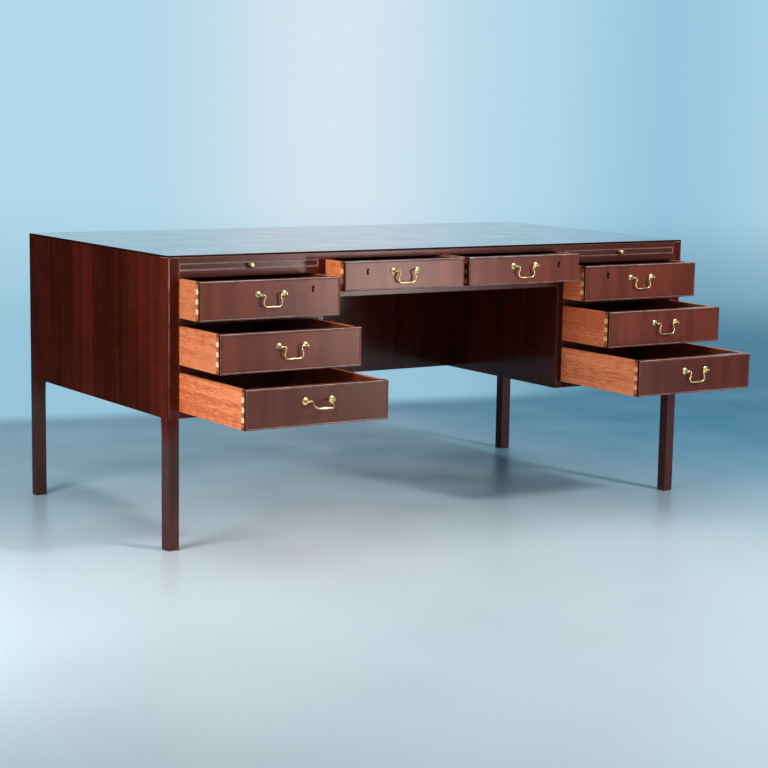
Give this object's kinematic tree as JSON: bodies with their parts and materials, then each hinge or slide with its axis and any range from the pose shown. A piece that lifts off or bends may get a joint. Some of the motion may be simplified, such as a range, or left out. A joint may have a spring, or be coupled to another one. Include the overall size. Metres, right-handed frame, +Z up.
{
  "type": "writing desk",
  "caption": "Large writing desk on square legs with pedestal drawers, shallow drawers over the kneehole, pull-out writing slides, brass bail handles and an open bookcase behind.",
  "frame": {"origin": "on the floor, in the middle of the box round the desk with its drawers standing open as stored", "axes": "+X to the right along the front, +Y from the front to the back, +Z up; drawers open towards -Y"},
  "size_m": [1.686, 1.2378, 0.75],
  "materials": {
    "top_wood": "polished dark mahogany veneer",
    "frame_wood": "polished solid mahogany",
    "panel_wood": "polished mahogany veneer",
    "front_wood": "polished mahogany veneer",
    "drawer_wood": "oiled pale mahogany",
    "brass": "polished",
    "lock_brass": "brushed"
  },
  "bodies": {
    "case": {"desk_top": "top_wood", "front_left_leg": "frame_wood", "front_right_leg": "frame_wood", "rear_left_leg": "frame_wood", "rear_right_leg": "frame_wood", "left_side_panel": "panel_wood", "right_side_panel": "panel_wood", "left_pedestal_panel": "panel_wood", "right_pedestal_panel": "panel_wood", "kneehole_panel": "panel_wood", "drawer_partitions": "panel_wood", "top_rails": "frame_wood", "drawer_rails": "frame_wood", "centre_rail": "frame_wood", "centre_divider": "frame_wood", "bottom_boards": "panel_wood", "drawer_runners": "drawer_wood", "drawer_stops": "drawer_wood", "bookcase_shelves": "panel_wood", "shelf_pins": "brass"},
    "left_slide": {"left_writing_slide": "frame_wood", "left_slide_knob": "brass"},
    "right_slide": {"right_writing_slide": "frame_wood", "right_slide_knob": "brass"},
    "left_top_drawer": {"left_top_drawer_front": "front_wood", "left_top_drawer_box": "drawer_wood", "left_top_posts_and_lock": "brass"},
    "left_top_bail": {"left_top_bail": "brass"},
    "left_top_lock_bolt": {"left_top_lock_bolt": "lock_brass"},
    "left_middle_drawer": {"left_middle_drawer_front": "front_wood", "left_middle_drawer_box": "drawer_wood", "left_middle_handle_posts": "brass"},
    "left_middle_bail": {"left_middle_bail": "brass"},
    "left_bottom_drawer": {"left_bottom_drawer_front": "front_wood", "left_bottom_drawer_box": "drawer_wood", "left_bottom_handle_posts": "brass"},
    "left_bottom_bail": {"left_bottom_bail": "brass"},
    "right_top_drawer": {"right_top_drawer_front": "front_wood", "right_top_drawer_box": "drawer_wood", "right_top_posts_and_lock": "brass"},
    "right_top_bail": {"right_top_bail": "brass"},
    "right_top_lock_bolt": {"right_top_lock_bolt": "lock_brass"},
    "right_middle_drawer": {"right_middle_drawer_front": "front_wood", "right_middle_drawer_box": "drawer_wood", "right_middle_handle_posts": "brass"},
    "right_middle_bail": {"right_middle_bail": "brass"},
    "right_bottom_drawer": {"right_bottom_drawer_front": "front_wood", "right_bottom_drawer_box": "drawer_wood", "right_bottom_handle_posts": "brass"},
    "right_bottom_bail": {"right_bottom_bail": "brass"},
    "centre_left_drawer": {"centre_left_drawer_front": "front_wood", "centre_left_drawer_box": "drawer_wood", "centre_left_posts_and_lock": "brass"},
    "centre_left_bail": {"centre_left_bail": "brass"},
    "centre_left_lock_bolt": {"centre_left_lock_bolt": "lock_brass"},
    "centre_right_drawer": {"centre_right_drawer_front": "front_wood", "centre_right_drawer_box": "drawer_wood", "centre_right_posts_and_lock": "brass"},
    "centre_right_bail": {"centre_right_bail": "brass"},
    "centre_right_lock_bolt": {"centre_right_lock_bolt": "lock_brass"}
  },
  "joints": [
    {"name": "left_slide_pull", "type": "slide", "parent": "case", "child": "left_slide", "axis": [0, -1, 0], "range_m": [0, 0.3]},
    {"name": "right_slide_pull", "type": "slide", "parent": "case", "child": "right_slide", "axis": [0, -1, 0], "range_m": [0, 0.3]},
    {"name": "left_top_drawer_pull", "type": "slide", "parent": "case", "child": "left_top_drawer", "axis": [0, -1, 0], "range_m": [-0.109, 0.271]},
    {"name": "left_top_bail_swing", "type": "hinge", "parent": "left_top_drawer", "child": "left_top_bail", "pos_m": [-0.607, -0.35575, 0.6555], "axis": [-1, 0, 0], "range_deg": [-8.21, 188.21]},
    {"name": "left_top_bolt_throw", "type": "slide", "parent": "left_top_drawer", "child": "left_top_lock_bolt", "axis": [0, 0, 1], "range_m": [0, 0.006]},
    {"name": "left_middle_drawer_pull", "type": "slide", "parent": "case", "child": "left_middle_drawer", "axis": [0, -1, 0], "range_m": [-0.214, 0.166]},
    {"name": "left_middle_bail_swing", "type": "hinge", "parent": "left_middle_drawer", "child": "left_middle_bail", "pos_m": [-0.607, -0.46075, 0.53717], "axis": [-1, 0, 0], "range_deg": [-8.21, 188.21]},
    {"name": "left_bottom_drawer_pull", "type": "slide", "parent": "case", "child": "left_bottom_drawer", "axis": [0, -1, 0], "range_m": [-0.342, 0.038]},
    {"name": "left_bottom_bail_swing", "type": "hinge", "parent": "left_bottom_drawer", "child": "left_bottom_bail", "pos_m": [-0.607, -0.58875, 0.41883], "axis": [-1, 0, 0], "range_deg": [-70.21, 126.21]},
    {"name": "right_top_drawer_pull", "type": "slide", "parent": "case", "child": "right_top_drawer", "axis": [0, -1, 0], "range_m": [-0.099, 0.281]},
    {"name": "right_top_bail_swing", "type": "hinge", "parent": "right_top_drawer", "child": "right_top_bail", "pos_m": [0.607, -0.34575, 0.6555], "axis": [-1, 0, 0], "range_deg": [-8.21, 188.21]},
    {"name": "right_top_bolt_throw", "type": "slide", "parent": "right_top_drawer", "child": "right_top_lock_bolt", "axis": [0, 0, 1], "range_m": [0, 0.006]},
    {"name": "right_middle_drawer_pull", "type": "slide", "parent": "case", "child": "right_middle_drawer", "axis": [0, -1, 0], "range_m": [-0.209, 0.171]},
    {"name": "right_middle_bail_swing", "type": "hinge", "parent": "right_middle_drawer", "child": "right_middle_bail", "pos_m": [0.607, -0.45575, 0.53717], "axis": [-1, 0, 0], "range_deg": [-8.21, 188.21]},
    {"name": "right_bottom_drawer_pull", "type": "slide", "parent": "case", "child": "right_bottom_drawer", "axis": [0, -1, 0], "range_m": [-0.343, 0.037]},
    {"name": "right_bottom_bail_swing", "type": "hinge", "parent": "right_bottom_drawer", "child": "right_bottom_bail", "pos_m": [0.607, -0.58975, 0.41883], "axis": [-1, 0, 0], "range_deg": [-8.21, 188.21]},
    {"name": "centre_left_drawer_pull", "type": "slide", "parent": "case", "child": "centre_left_drawer", "axis": [0, -1, 0], "range_m": [-0.096, 0.284]},
    {"name": "centre_left_bail_swing", "type": "hinge", "parent": "centre_left_drawer", "child": "centre_left_bail", "pos_m": [-0.196, -0.34275, 0.701], "axis": [-1, 0, 0], "range_deg": [-8.21, 188.21]},
    {"name": "centre_left_bolt_throw", "type": "slide", "parent": "centre_left_drawer", "child": "centre_left_lock_bolt", "axis": [0, 0, 1], "range_m": [0, 0.006]},
    {"name": "centre_right_drawer_pull", "type": "slide", "parent": "case", "child": "centre_right_drawer", "axis": [0, -1, 0], "range_m": [-0.094, 0.286]},
    {"name": "centre_right_bail_swing", "type": "hinge", "parent": "centre_right_drawer", "child": "centre_right_bail", "pos_m": [0.196, -0.34075, 0.701], "axis": [-1, 0, 0], "range_deg": [-8.21, 188.21]},
    {"name": "centre_right_bolt_throw", "type": "slide", "parent": "centre_right_drawer", "child": "centre_right_lock_bolt", "axis": [0, 0, 1], "range_m": [0, 0.006]}
  ]
}
